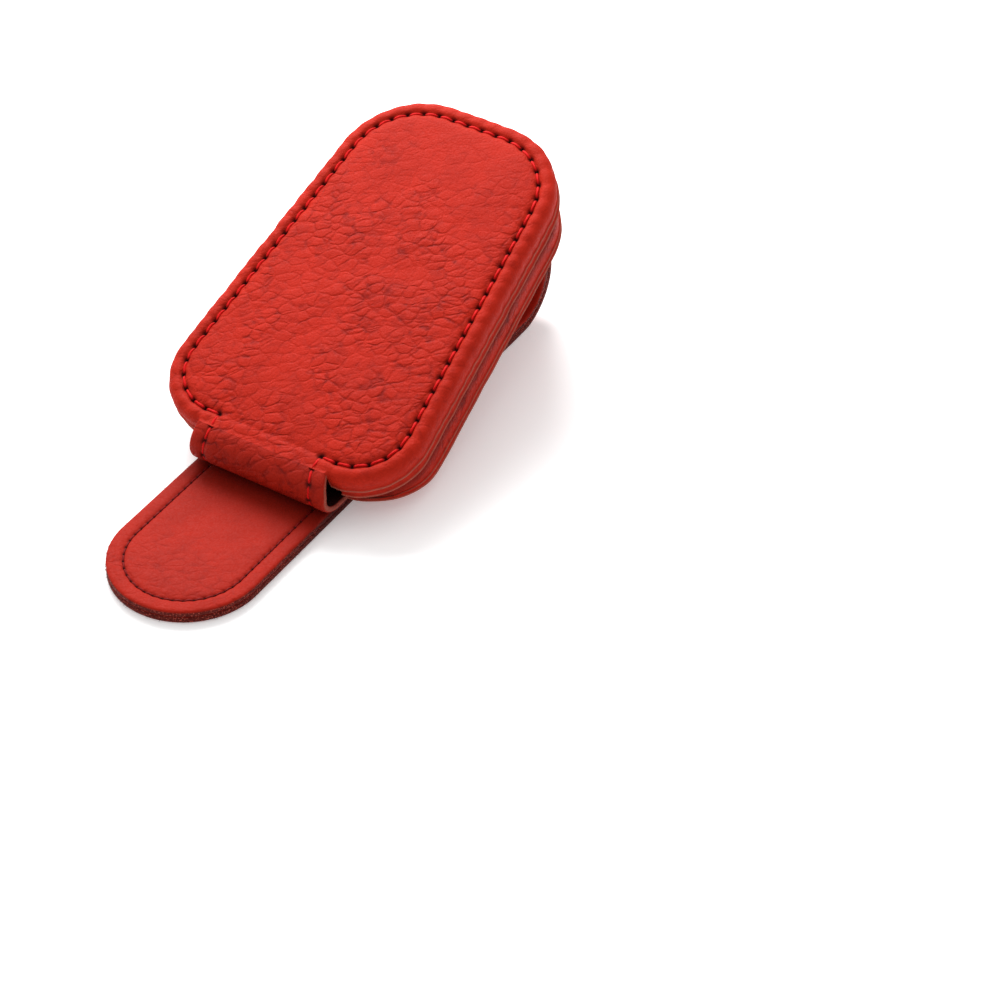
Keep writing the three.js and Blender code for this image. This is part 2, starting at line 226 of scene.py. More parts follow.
def arc(centre, radius, start, end, count):
    angle = start + (end - start) * np.arange(count) / count
    return np.stack([centre[0] + radius * np.cos(angle), centre[1] + radius * np.sin(angle)], axis=1)


def both_sides(half):
    """The ring whose right half is given, from the near middle to the far middle."""
    return np.concatenate([half, half[-2:0:-1] * (-1, 1)])


def pad_ring(inset):
    lean = math.atan(-PAD_TAPER)
    slant = math.hypot(1, PAD_TAPER)

    def corner(end, outer_radius):
        radius = max(outer_radius - inset, TIGHTEST_CORNER)
        s = PAD_FAR - inset - radius if end > 0 else PAD_NEAR + inset + radius
        return PAD_HALF_WIDTH + PAD_TAPER * s - (inset + radius) * slant, s, radius

    near_x, near_s, near_radius = corner(-1, NEAR_CORNER)
    far_x, far_s, far_radius = corner(1, FAR_CORNER)
    near_side = (near_x + near_radius * math.cos(lean), near_s + near_radius * math.sin(lean))
    far_side = (far_x + far_radius * math.cos(lean), far_s + far_radius * math.sin(lean))
    return both_sides(np.concatenate([
        line((0, PAD_NEAR + inset), (near_x, PAD_NEAR + inset), NEAR_EDGE),
        arc((near_x, near_s), near_radius, -math.pi / 2, lean, NEAR_ARC),
        line(near_side, far_side, SIDE),
        arc((far_x, far_s), far_radius, lean, math.pi / 2, FAR_ARC),
        line((far_x, PAD_FAR - inset), (0, PAD_FAR - inset), FAR_EDGE),
        [(0, PAD_FAR - inset)],
    ]))


def clip_ring(inset, half_width=CLIP_HALF_WIDTH, tip=0.0):
    radius = half_width - inset
    corner = max(ROOT_CORNER - inset, TIGHTEST_CORNER / 2)
    end = CLIP_LENGTH - inset
    return both_sides(np.concatenate([
        arc((0, tip + half_width), radius, -math.pi / 2, 0, TIP_ARC),
        line((radius, tip + half_width), (radius, end - corner), ARM_SIDE),
        arc((radius - corner, end - corner), corner, 0, math.pi / 2, ROOT_ARC),
        line((radius - corner, end), (0, end), ROOT_EDGE),
        [(0, end)],
    ]))


PAD_COLUMNS = len(pad_ring(0))
NECK_COLUMNS = np.zeros(PAD_COLUMNS, bool)
NECK_COLUMNS[:NEAR_EDGE] = True
NECK_COLUMNS[-NEAR_EDGE + 1:] = True


# ---- meshes -------------------------------------------------------------------

def make_object(name, world, faces, materials, flat=None, **values):
    """A smooth mesh from points in millimetres, with per-point values as its attributes."""
    mesh = bpy.data.meshes.new(name)
    mesh.from_pydata((world * MM).tolist(), [], faces)
    mesh.polygons.foreach_set("use_smooth", [True] * len(mesh.polygons))
    if flat is not None:
        attribute = mesh.attributes.new("leather", "FLOAT_VECTOR", "POINT")
        attribute.data.foreach_set("vector", flat.astype(np.float32).ravel())
    for key, value in values.items():
        attribute = mesh.attributes.new(key, "FLOAT", "POINT")
        attribute.data.foreach_set("value", np.asarray(value, np.float32).ravel())
    for material in materials:
        mesh.materials.append(material)
    mesh.validate()
    made = bpy.data.objects.new(name, mesh)
    bpy.context.scene.collection.objects.link(made)
    return made


def ring_faces(rings, columns):
    """Quads between successive closed rings."""
    faces = []
    for r in range(rings - 1):
        for c in range(columns):
            d = (c + 1) % columns
            faces.append((r * columns + c, r * columns + d, (r + 1) * columns + d, (r + 1) * columns + c))
    return faces


def cap_faces(ring, columns, straight, up=True):
    """Fills a mirrored ring: one face behind each straight end, and strips from side to side between."""
    first, last = straight[0] + 1, columns // 2 - straight[1] - 1
    corners = [list(range(-first, first + 1)), list(range(last, columns - last + 1))]
    corners += [[c, c + 1, -c - 1, -c] for c in range(first, last)]
    faces = [[ring * columns + c % columns for c in face] for face in corners]
    return [tuple(face if up else face[::-1]) for face in faces]


def lofted(name, flat, to_world, material, straight, bottom_cap=True, **values):
    """A slab through rings of flat points.

    straight counts the columns that each end of half a ring keeps straight.
    """
    rings, columns = flat.shape[:2]
    faces = ring_faces(rings, columns) + cap_faces(rings - 1, columns, straight)
    if bottom_cap:
        faces += cap_faces(0, columns, straight, up=False)
    points = flat.reshape(-1, 3)
    return make_object(name, to_world(points), faces, [material], flat=points, **values)


def wave(columns, low, high, amplitude):
    """A smooth random wave round a closed ring."""
    turn = 2 * math.pi * np.arange(columns) / columns
    total = np.zeros(columns)
    for k in range(low, high):
        total += rng.normal() / math.sqrt(high - low) * np.cos(k * turn + rng.uniform(0, 2 * math.pi))
    return amplitude * total


# ---- seams --------------------------------------------------------------------

def spaced(path, count):
    """Points along an open polyline at equal distances."""
    length = np.concatenate([[0], np.cumsum(np.linalg.norm(np.diff(path, axis=0), axis=1))])
    at = np.linspace(0, length[-1], count)
    return np.stack([np.interp(at, length, path[:, k]) for k in range(path.shape[1])], axis=1)


def pad_seam(inset, onto_neck=False):
    """Needle holes round a pad, from one side of the neck round the free end to its other side."""
    ring = pad_ring(inset)
    near = PAD_NEAR + inset
    start_x = NECK_SEAM_X if onto_neck else NECK_HALF_WIDTH + NECK_SPREAD
    path = ring[(np.abs(ring[:, 0]) >= start_x) | (ring[:, 1] > PAD_NEAR + NEAR_CORNER)]
    if onto_neck:
        ends = [(NECK_SEAM_X, PAD_NEAR), (NECK_SEAM_X, near)]
        path = np.concatenate([ends, path, [(-x, s) for x, s in reversed(ends)]])
    return spaced(path, STITCHES + 1)


def clip_seam():
    """Needle holes down one side of the free arm, round the tongue and back."""
    ring = clip_ring(CLIP_SEAM_INSET)
    right = ring[: len(ring) // 2]
    right = right[right[:, 1] <= CLIP_FLAT]
    path = np.concatenate([right[::-1], right[1:] * (-1, 1)])
    return spaced(path, CLIP_STITCHES + 1)


def near_holes(flat, holes, along=HOLE_LENGTH, across=HOLE_WIDTH):
    """How close each point is to a needle hole drawn out along the seam: 1 in the middle and 0 well away."""
    run = np.gradient(holes, axis=0)
    run /= np.linalg.norm(run, axis=1, keepdims=True)
    closest = np.full(flat.shape[:-1], 1e9)
    for (x, s), (run_x, run_s) in zip(holes, run):
        dx, ds = flat[..., 0] - x, flat[..., 1] - s
        lengthwise = (dx * run_x + ds * run_s) / along
        sideways = (dx * run_s - ds * run_x) / across
        closest = np.minimum(closest, lengthwise ** 2 + sideways ** 2)
    return np.exp(-closest)


def hole_shade(hole):
    """How dark a point is round a needle hole, as painted shade: the dark part is a little wider than the
    dent.
    """
    return np.clip(HOLE_SHADE_SPREAD * hole, 0, 1)


def stitches(name, holes, normals, material, radius=0.25, sink=0.80, rows=16, sides=10):
    """One twisted thread from each hole to the next, dipping steeply into both."""
    start, end = holes[:-1], holes[1:]
    up = normals[:-1] + normals[1:]
    up /= np.linalg.norm(up, axis=1, keepdims=True)
    along = end - start
    across = np.cross(up, along)
    across /= np.linalg.norm(across, axis=1, keepdims=True)
    share = 0.5 - 0.5 * np.cos(np.linspace(0, math.pi, rows))
    lift = 0.4 * radius - sink * np.abs(2 * share - 1) ** 3
    turn = 2 * math.pi * np.arange(sides) / sides
    ply = 1 + PLY_DEPTH * np.cos(2 * (turn[None, :] - PLY_TURNS * math.pi * share[:, None]))
    ring_across = radius * ply * np.cos(turn)
    ring_up = radius * ply * np.sin(turn)
    middle = start[:, None] + along[:, None] * share[None, :, None] + up[:, None] * lift[None, :, None]
    points = (
        middle[:, :, None]
        + across[:, None, None] * ring_across[None, :, :, None]
        + up[:, None, None] * ring_up[None, :, :, None]
    )
    one = ring_faces(rows, sides)
    faces = [tuple(k * rows * sides + v for v in face) for k in range(len(start)) for face in one]
    # the ends that dip into the holes are marked for painted shade
    sunk = np.clip((np.abs(2 * share - 1) - 0.62) / 0.26, 0, 1)
    hole = np.broadcast_to(sunk[None, :, None], points.shape[:3])
    return make_object(name, points.reshape(-1, 3), faces, [material], hole=hole)


# ---- materials ------------------------------------------------------------------

class Graph:
    """A small hand for writing node trees."""

    def __init__(self, name):
        self.material = bpy.data.materials.new(name)
        self.material.use_nodes = True
        self.tree = self.material.node_tree
        self.shader = self.tree.nodes["Principled BSDF"]

    def node(self, kind, *inputs, **settings):
        made = self.tree.nodes.new("ShaderNode" + kind)
        for key, value in settings.items():
            setattr(made, key, value)
        for slot, value in enumerate(inputs):
            self.give(made.inputs[slot], value)
        return made

    def give(self, socket, value):
        if isinstance(value, bpy.types.NodeSocket):
            self.tree.links.new(value, socket)
        elif value is not None:
            socket.default_value = value

    def math(self, operation, *inputs):
        return self.node("Math", *inputs, operation=operation).outputs[0]

    def attribute(self, name, output="Fac"):
        return self.node("Attribute", attribute_name=name).outputs[output]

    def noise(self, vector, scale, detail=2.0):
        made = self.node("TexNoise")
        self.give(made.inputs["Vector"], vector)
        made.inputs["Scale"].default_value = scale
        made.inputs["Detail"].default_value = detail
        return made

    def cells(self, vector, scale, feature="DISTANCE_TO_EDGE"):
        made = self.node("TexVoronoi", feature=feature)
        self.give(made.inputs["Vector"], vector)
        made.inputs["Scale"].default_value = scale
        return made.outputs["Distance"]

    def drawn(self, vector, length):
        """Coordinates in which a pattern comes out longer along the hide's diagonal."""
        made = self.node("Mapping", vector, vector_type="TEXTURE")
        made.inputs["Rotation"].default_value = (0, 0, HIDE_DIAGONAL)
        made.inputs["Scale"].default_value = (length, 1, 1)
        return made.outputs[0]

    def ramp(self, value, low, high, to_low=0.0, to_high=1.0):
        made = self.node("MapRange", value, low, high, to_low, to_high, interpolation_type="SMOOTHSTEP")
        return made.outputs[0]

    def mix(self, share, first, second):
        made = self.node("Mix", data_type="RGBA")
        self.give(made.inputs["Factor"], share)
        self.give(made.inputs[6], first)
        self.give(made.inputs[7], second)
        return made.outputs[2]

    def bump(self, height, distance, strength=1.0):
        made = self.node("Bump")
        made.inputs["Strength"].default_value = strength
        made.inputs["Distance"].default_value = distance
        self.give(made.inputs["Height"], height)
        self.give(self.shader.inputs["Normal"], made.outputs[0])

    def set(self, **values):
        for key, value in values.items():
            self.give(self.shader.inputs[key.replace("_", " ")], value)


RED = (0.46, 0.0155, 0.0045, 1)
RED_DEEP = (0.17, 0.0035, 0.0015, 1)
RED_CLIP = (0.38, 0.0125, 0.0035, 1)
# colour of the painted shade in and round the needle holes
HOLE_SHADOW = (0.028, 0.0012, 0.0010, 1)
CUT_PALE = (0.36, 0.075, 0.050, 1)
CUT_DARK = (0.075, 0.0040, 0.0020, 1)
FIBRE = (0.45, 0.080, 0.055, 1)
# near-black red for the flesh side, also the colour of painted shade
FLESH_AND_SHADE = (0.024, 0.0035, 0.0028, 1)
HIDE_DIAGONAL = math.radians(33)
WANDER = (1.5, 1.5, 0)


def leather(name, grain=1.0, cell=0.48, edge=CUT_PALE, colour=RED):
    """Pebbled leather: soft cells and folds drawn out along one diagonal, over finer pebbles and pores."""
    g = Graph(name)
    flat = g.attribute("leather", "Vector")
    drift = g.noise(flat, 0.34, 2.0).outputs["Color"]
    wander = g.node("VectorMath", drift, WANDER, operation="MULTIPLY").outputs[0]
    wandered = g.node("VectorMath", flat, wander).outputs[0]
    drawn = g.drawn(wandered, 1.45)
    coarse = g.ramp(g.cells(drawn, cell), 0.0, 0.17)
    dome = g.ramp(g.cells(drawn, cell, "F1"), 0.0, 0.90, 1.0, 0.0)
    broken = g.ramp(g.noise(flat, 0.55, 2.0).outputs["Fac"], 0.38, 0.62)
    fine = g.ramp(g.cells(wandered, 2.7 * cell), 0.0, 0.30)
    folds = g.noise(g.drawn(wandered, 2.4), 0.40, 1.0).outputs["Fac"]
    fold = g.ramp(g.math("ABSOLUTE", g.math("SUBTRACT", folds, 0.5)), 0.0, 0.085)
    pores = g.noise(flat, 3.6, 3.0).outputs["Fac"]
    swell = g.noise(flat, 0.11, 2.0).outputs["Fac"]
    patch = g.ramp(g.noise(flat, 0.09, 1.0).outputs["Fac"], 0.36, 0.60, 0.45, 1.0)
    along = g.node("SeparateXYZ", flat).outputs[1]
    fade = g.math("MULTIPLY", patch, g.ramp(along, 8.0, 38.0, 1.0, 0.22))
    smooth = g.ramp(g.attribute("margin"), 0.0, 1.0, grain, 0.45 * grain)
    strength = g.math("MULTIPLY", fade, smooth)

    pebbles = g.math("ADD", g.math("MULTIPLY", coarse, 0.34), g.math("MULTIPLY", dome, 0.42))
    height = g.math("MULTIPLY", g.math("ADD", pebbles, g.math("MULTIPLY", fold, 0.22)), strength)
    height = g.math("ADD", height, g.math("MULTIPLY", fine, 0.09 * grain))
    height = g.math("ADD", height, g.math("MULTIPLY", pores, 0.22))
    height = g.math("ADD", height, g.math("MULTIPLY", swell, 1.8))
    g.bump(height, 0.00025)

    # the grain's valleys and folds are painted darker: partly the leather's own darker creases, partly
    # painted shade
    valley = g.math("SUBTRACT", 2.0, g.math("ADD", coarse, fold))
    crease = g.math("MULTIPLY", g.math("MULTIPLY", valley, broken), g.math("MULTIPLY", strength, 0.42))
    shade = g.mix(g.ramp(swell, 0.3, 0.7), colour, [c * 0.88 for c in colour[:3]] + [1])
    shade = g.mix(g.math("MULTIPLY", pores, 0.20), shade, RED_DEEP)
    shade = g.mix(crease, shade, RED_DEEP)
    fibres = g.ramp(g.noise(flat, 4.0, 4.0).outputs["Fac"], 0.52, 0.68)
    cut = g.mix(fibres, edge, FIBRE)
    shade = g.mix(g.attribute("edge"), shade, cut)
    # the inside attribute mixes towards the near-black colour: on the flesh side, a little over the rolled
    # strap, and as painted shade in the gap under the flap and on the tongue under the roll
    shade = g.mix(g.attribute("inside"), shade, FLESH_AND_SHADE)
    # painted shade in and round the needle holes, and on the thread where it dips into them
    shade = g.mix(g.attribute("hole"), shade, HOLE_SHADOW)
    g.set(Base_Color=shade, Roughness=g.ramp(pores, 0.3, 0.7, 0.58, 0.74))
    g.shader.inputs["Specular IOR Level"].default_value = 0.09
    return g.material


def thread(name, colour):
    """Waxed polyester thread with fine filaments."""
    g = Graph(name)
    place = g.node("TexCoord").outputs["Object"]
    filaments = g.noise(place, 5200, 2.0).outputs["Fac"]
    dyed = g.mix(filaments, colour, [c * 0.65 for c in colour[:3]] + [1])
    # the thread is painted dark where it dips into the holes: painted shade
    g.set(Base_Color=g.mix(g.attribute("hole"), dyed, HOLE_SHADOW), Roughness=0.6)
    g.shader.inputs["Specular IOR Level"].default_value = 0.1
    g.bump(filaments, 0.00005)
    return g.material


def metal(name, colour, roughness, scratch_scale):
    """Plated or brushed metal with fine scratches along one direction."""
    g = Graph(name)
    place = g.node("TexCoord").outputs["Object"]
    drawn = g.node("Mapping", place, (0, 0, 0), (0, 0, 0), (scratch_scale, 60, 60)).outputs[0]
    scratches = g.noise(drawn, 12.0, 4.0).outputs["Fac"]
    g.set(Base_Color=colour, Metallic=1.0)
    g.set(Roughness=g.ramp(scratches, 0.3, 0.7, roughness, roughness + 0.16))
    g.bump(scratches, 0.00003)
    return g.material


def board(name):
    """Grey-brown pressed fibre board."""
    g = Graph(name)
    place = g.node("TexCoord").outputs["Object"]
    fibres = g.noise(place, 1400, 5.0).outputs["Fac"]
    g.set(Base_Color=g.mix(fibres, (0.20, 0.16, 0.12, 1), (0.42, 0.35, 0.27, 1)), Roughness=0.9)
    g.bump(fibres, 0.0001)
    return g.material


LEATHER = leather("pebbled_leather")
LEATHER_PLAIN = leather("lining_leather", grain=0.5)
LEATHER_CLIP = leather("clip_leather", grain=0.45, edge=CUT_DARK, colour=RED_CLIP)
THREAD = thread("bright_thread", (0.72, 0.006, 0.006, 1))
THREAD_CLIP = thread("clip_thread_red", (0.20, 0.003, 0.003, 1))
NICKEL = metal("nickel", (0.62, 0.62, 0.61, 1), 0.22, 30)
STEEL = metal("spring_steel_satin", (0.46, 0.47, 0.49, 1), 0.34, 400)
BOARD = board("fibre_board")


# ---- pads -----------------------------------------------------------------------

def base_underside(s):
    """Depth of the base's back, which eases from the pad's slope into the level of the floor."""
    past = (BASE_BEND - s) / BASE_EASE
    return BASE_BOTTOM + BASE_EASE * np.logaddexp(0, past) * math.tan(PAD_TILT)


def base_upperside(s):
    share = np.clip((BASE_BEND - s) / (BASE_BEND - PAD_NEAR), 0, 1)
    return BASE_TOP + (BASE_TOP_NEAR - BASE_TOP) * share


def face_level(s):
    """The plane of the flap's outer face, for layers whose heights are all measured from it."""
    return np.zeros_like(s)


def pad_rings(profile, level, outline_wave):
    """Rings X, S, N for a profile of (inset, n) pairs, where level(s) is added to n."""
    rings = []
    for inset, n in profile:
        ring = pad_ring(inset)
        fade = max(0, 1 - inset / FAR_CORNER)
        reach = np.linalg.norm(ring, axis=1, keepdims=True) + 1
        ring = ring * (1 + fade * outline_wave[:, None] / reach)
        rings.append(np.concatenate([ring, (level(ring[:, 1]) + n)[:, None]], axis=1))
    return np.array(rings)


def set_back(rings, insets, depth):
    """Moves the columns behind the neck back, so that the roll stays hollow, and returns where they are."""
    behind = (np.abs(pad_ring(0)[:, 0]) < NECK_HALF_WIDTH + NECK_SPREAD) & (pad_ring(0)[:, 1] < 0)
    moved = np.zeros(rings.shape[:2], bool)
    for k, inset in enumerate(insets):
        if inset < depth:
            rings[k, behind, :2] = pad_ring(depth)[behind]
            moved[k, behind] = depth > BASE_INSET
    return moved


def flap_cover():
    """The flap's outer leather: turned over a padded edge, pulled down at the seam, run into the neck."""
    hem = [(1.30, -3.10), (1.30, -4.20), (0.70, -4.33)]
    rim = [(0.22, -4.33), (0.00, -4.28), (-0.06, -4.12), (-0.02, -3.98)]
    face = [
        (0.18, -3.84), (0.24, -3.55), (0.15, -3.05), (0.04, -2.50), (0.00, -1.95), (0.06, -1.45),
        (0.20, -1.02), (0.42, -0.66), (0.72, -0.36), (1.08, -0.12), (1.50, 0.00), (1.90, 0.04),
        (2.25, 0.00), (2.50, -0.10), (2.72, -0.24), (2.90, -0.36), (3.05, -0.42), (3.20, -0.42),
        (3.38, -0.34), (3.58, -0.20), (3.82, -0.04),
        (4.20, 0.12), (4.80, 0.24), (5.60, 0.32), (6.80, 0.38), (8.50, 0.44), (10.5, 0.50), (12.5, 0.55),
        (15.0, 0.60), (17.5, 0.63), (20.0, 0.64), (PAD_MIDDLE, 0.64),
    ]
    profile = hem + rim + face
    insets = np.array([inset for inset, _ in profile])
    order = np.arange(len(profile))[:, None]
    holes = pad_seam(SEAM_INSET, onto_neck=True)
    pull = near_holes(pad_ring(SEAM_INSET), holes, 0.9, 0.9)
    rings = pad_rings(profile, face_level, wave(PAD_COLUMNS, *EDGE_WAVE) + PADDING - 0.12 * pull)

    # between the stitches the margin stands a little prouder
    margin = np.exp(-((insets - 1.6) / 1.0) ** 2)[:, None]
    rings[..., 2] += margin * (0.08 - 0.16 * pull)
    seam = (np.abs(insets - SEAM_INSET) < 1.4)[:, None] & (order > len(hem + rim))
    hole = near_holes(rings, holes) * seam

    # across the neck the leather stays flat and ends where the roll begins
    neck_end = NECK_TOP_S - PAD_NEAR
    wall = 12
    for k, inset in enumerate(insets):
        here = rings[k, NECK_COLUMNS]
        if k < 2:
            here[:, :2] = pad_ring(SETBACK)[NECK_COLUMNS]
            here[:, 2] = -NECK_THICK
        elif k < wall:
            here[:, :2] = pad_ring(neck_end)[NECK_COLUMNS]
            here[:, 2] = -NECK_THICK * (1 - (k - 2) / (wall - 2))
        else:
            outer = np.clip((np.abs(here[:, 0]) - NECK_SEAM_X + 0.4) / 1.6, 0, 1)
            flat = np.clip((inset - neck_end) / 9.0, 0, 1)
            here[:, 2] *= flat + outer * (np.clip((inset - neck_end) / 1.8, 0, 1) - flat)
            here[:, :2] = pad_ring(max(inset, neck_end))[NECK_COLUMNS]
        rings[k, NECK_COLUMNS] = here
    hole[:wall, NECK_COLUMNS] = 0
    rings[..., 2] -= HOLE_DEPTH * hole

    behind_neck = NECK_COLUMNS[None, :]
    on_rim = (order >= len(hem)) & (order < len(hem + rim)) & ~behind_neck
    inside = (order < 2) | ((order < 3) & behind_neck)
    on_margin = (insets[:, None] < SEAM_INSET) & (np.abs(pad_ring(0)[:, 0]) > NECK_SEAM_X)[None, :]
    # hole_shade darkens the needle holes with painted shade
    cover = lofted(
        "flap_cover", rings, pad_to_world, LEATHER, PAD_STRAIGHT, bottom_cap=False, margin=on_margin,
        edge=on_rim, inside=np.broadcast_to(inside, hole.shape), hole=hole_shade(hole),
    )
    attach(cover, "flap")
    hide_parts("flap_skin")
    sew_pad("flap_stitches", holes, flap_seam_level, 1, "flap", "flap_thread")


def flap_seam_level(s):
    """Height of the seam's thread: in the valley, but at the face where the seam runs onto the neck."""
    return -SEAM_THREAD_DEPTH * np.clip((s - PAD_NEAR) / SEAM_INSET, 0.1, 1)


def sew_pad(name, holes, level, facing, body, replaced=None):
    """Stitches round a pad at a level, on the face that looks along facing."""
    height = level(holes[:, 1]) if callable(level) else np.full(len(holes), level)
    points = pad_to_world(np.column_stack([holes, height]))
    normals = np.tile(np.array(ALONG_N) * facing, (len(holes), 1))
    made = stitches(name, points, normals, THREAD)
    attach(made, body)
    if replaced:
        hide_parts(replaced)


def slab(name, profile, level, body, replaced, material, edge_rings, depth=SETBACK):
    """A plain closed layer of a pad, set back behind the neck."""
    insets = [inset for inset, _ in profile]
    rings = pad_rings(profile, level, wave(PAD_COLUMNS, *EDGE_WAVE))
    moved = set_back(rings, insets, depth)
    marked = np.zeros(rings.shape[:2])
    marked[edge_rings] = 1
    made = lofted(name, rings, pad_to_world, material, PAD_STRAIGHT, edge=marked * ~moved, inside=moved)
    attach(made, body)
    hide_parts(replaced)
    return made


def flap_lining_pad():
    """The flap's inner leather, with a pale cut rim along its lower edge."""
    profile = [
        (PAD_MIDDLE, -6.40), (12.0, -6.40), (5.0, -6.40), (3.1, -6.36), (1.2, -6.38), (0.50, -6.42),
        (0.20, -6.42), (0.02, -6.34), (-0.02, -6.20), (0.02, -6.08),
        (0.22, -5.94), (0.32, -5.60), (0.32, -5.10), (0.40, -4.68), (0.9, -4.50), (8.0, -4.50),
        (PAD_MIDDLE, -4.50),
    ]
    slab("flap_lining_pad", profile, face_level, "flap", "flap_lining", LEATHER_PLAIN, [6, 7, 8, 9])
    sew_pad("flap_stitches_inside", pad_seam(SEAM_INSET), INSIDE_SEAM_N, -1, "flap")


def base_cover():
    """The base's front leather: a padded face with a rolled edge, and a cut rim at the lining."""
    sides = [
        (BASE_INSET + 1.60, -13.10), (BASE_INSET + 0.80, -13.36),
        (BASE_INSET + 0.15, -13.40), (BASE_INSET - 0.10, -13.34), (BASE_INSET - 0.16, -13.20),
        (BASE_INSET - 0.12, -13.06), (BASE_INSET + 0.10, -12.95), (BASE_INSET + 0.18, -12.60),
        (BASE_INSET + 0.10, -12.0), (BASE_INSET + 0.04, -11.0),
        (BASE_INSET + 0.02, -10.2), (BASE_INSET + 0.08, -9.50),
    ]
    top = [
        (BASE_INSET + 0.35, -0.85), (BASE_INSET + 0.75, -0.40), (BASE_INSET + 1.30, -0.10),
        (BASE_INSET + 2.00, 0.00), (BASE_INSET + 2.60, -0.16), (BASE_INSET + 2.90, -0.32),
        (BASE_INSET + 3.10, -0.38), (BASE_INSET + 3.30, -0.32), (BASE_INSET + 3.60, -0.16),
        (BASE_INSET + 4.20, 0.02), (8.0, 0.10), (12.0, 0.12), (17.0, BASE_CROWN), (PAD_MIDDLE, BASE_CROWN),
    ]
    holes = pad_seam(BASE_INSET + SEAM_INSET)
    outline = wave(PAD_COLUMNS, *EDGE_WAVE)
    lower = pad_rings(sides, face_level, outline)
    lift = base_underside(lower[..., 1]) - BASE_BOTTOM
    share = np.clip((lower[..., 2] + 9.5) / -3.9, 0, 1)
    lower[..., 2] += lift * share
    upper = pad_rings(top, base_upperside, outline)
    rings = np.concatenate([lower, upper])
    insets = [inset for inset, _ in sides + top]
    rings[..., 2] = np.minimum(rings[..., 2], base_upperside(rings[..., 1]) + BASE_CROWN)
    moved = set_back(rings, insets, SETBACK)
    marked = np.zeros(rings.shape[:2])
    marked[2:6] = 1
    hole = near_holes(rings, holes)
    hole[: len(sides)] = 0
    rings[..., 2] -= HOLE_DEPTH * hole
    depth = base_upperside(rings[..., 1]) - rings[..., 2]
    # painted shade: the side just below the face is darker where the two pads meet, and the set-back columns
    # take the flesh colour
    flesh_and_gap_shade = np.maximum(0.55 * np.exp(-((depth - 1.2) / 1.3) ** 2), moved)
    # hole_shade darkens the needle holes with painted shade
    made = lofted(
        "base_cover", rings, pad_to_world, LEATHER, PAD_STRAIGHT, bottom_cap=False,
        edge=marked * ~moved, inside=flesh_and_gap_shade, hole=hole_shade(hole),
    )
    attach(made, "base")
    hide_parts("base_skin")
    sew_pad("base_stitches", holes, base_seam_level, 1, "base", "base_thread")


def base_seam_level(s):
    """Height of the base's thread, in the valley along its seam."""
    return base_upperside(s) - SEAM_THREAD_DEPTH


def base_back():
    """The leather on the base's back, level with the floor near the neck."""
    profile = [
        (PAD_MIDDLE, 0.0), (12.0, 0.0), (6.0, 0.0), (3.0, 0.0), (BASE_INSET + 0.50, 0.01),
        (BASE_INSET + 0.15, 0.04), (BASE_INSET - 0.02, 0.14), (BASE_INSET - 0.06, 0.28), (BASE_INSET, 0.42),
        (BASE_INSET + 0.20, 0.55), (BASE_INSET + 0.26, 0.85), (BASE_INSET + 0.30, 1.20),
        (BASE_INSET + 0.70, 1.45), (6.0, 1.50), (12.0, 1.50), (PAD_MIDDLE, 1.50),
    ]
    slab(
        "base_back", profile, base_underside, "base", "base_lining", LEATHER_PLAIN, [5, 6, 7, 8],
        depth=BASE_INSET,
    )


# ---- neck -------------------------------------------------------------------------

def neck_strap(k):
    """A quarter of the rolled strap, bending across the hinge in its middle."""
    turn = NECK_ARC[0] - NECK_ARC[1]
    piece = turn * NECK_RADIUS / NECK_PIECES
    far_s = NECK_TOP_S - turn * NECK_RADIUS + k * piece
    stations = np.linspace(far_s, far_s + piece, 13)
    if k == 0:
        stations = np.concatenate([np.linspace(far_s - NECK_TAB, far_s, 6)[:-1], stations])
    half, thick = NECK_HALF_WIDTH, NECK_THICK
    beside_seam = (-1.5, -0.8, -0.4, 0, 0.4, 0.8, 1.5)
    seam_dip = [(NECK_SEAM_X + d, -0.22 * math.exp(-(d / 0.5) ** 2)) for d in beside_seam]
    right = [(0, 0), (5, 0), (9, 0)] + seam_dip + [
        (half - 0.9, 0), (half - 0.35, -0.06), (half - 0.08, -0.22), (half, -0.5), (half, -0.9),
        (half - 0.08, -thick + 0.2), (half - 0.3, -thick + 0.04), (half - 1.0, -thick),
        (6, -thick), (0, -thick),
    ]
    section = np.array(right + [(-x, n) for x, n in reversed(right[1:-1])])
    flat = np.array([[(x, s, n) for x, n in section] for s in stations])
    count = len(section)
    is_edge = (np.abs(section[:, 0]) > half - 0.2) & (section[:, 1] < -0.3) & (section[:, 1] > 0.1 - thick)
    is_inside = section[:, 1] < 0.15 - thick
    points = flat.reshape(-1, 3)
    hole = np.zeros(len(points))
    for side in (1, -1):
        seam = np.array([(side * NECK_SEAM_X, s) for s in (far_s, far_s + piece)])
        hole += near_holes(points, seam) * (points[:, 2] > -thick / 2)
    # hole_shade darkens the needle holes with painted shade
    made = make_object(
        f"neck_strap_{k + 1}", neck_to_world(points - hole[:, None] * (0, 0, HOLE_DEPTH / 2)),
        ring_faces(len(stations), count), [LEATHER], flat=points, edge=np.tile(is_edge, len(stations)),
        inside=np.tile(np.where(is_inside, 1, STRAP_DARKENING), len(stations)), hole=hole_shade(hole),
    )
    return made, (far_s, far_s + piece)


def neck():
    for k in range(NECK_PIECES):
        strap, ends_s = neck_strap(k)
        sewn = []
        for side in (1, -1):
            holes = np.array([(side * NECK_SEAM_X, s, -0.12) for s in ends_s])
            points = neck_to_world(holes)
            normals = points - (0, NECK_Y, NECK_Z)
            normals[:, 0] = 0
            normals /= np.linalg.norm(normals, axis=1, keepdims=True)
            name = f"neck_stitch_{'right' if side > 0 else 'left'}_{k + 1}"
            sewn.append(stitches(name, points, normals, THREAD))
        for piece in [strap] + sewn:
            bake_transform(piece)
        if k < NECK_PIECES - 1:
            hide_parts(f"neck_link_{k + 1}")


# ---- clip ---------------------------------------------------------------------------

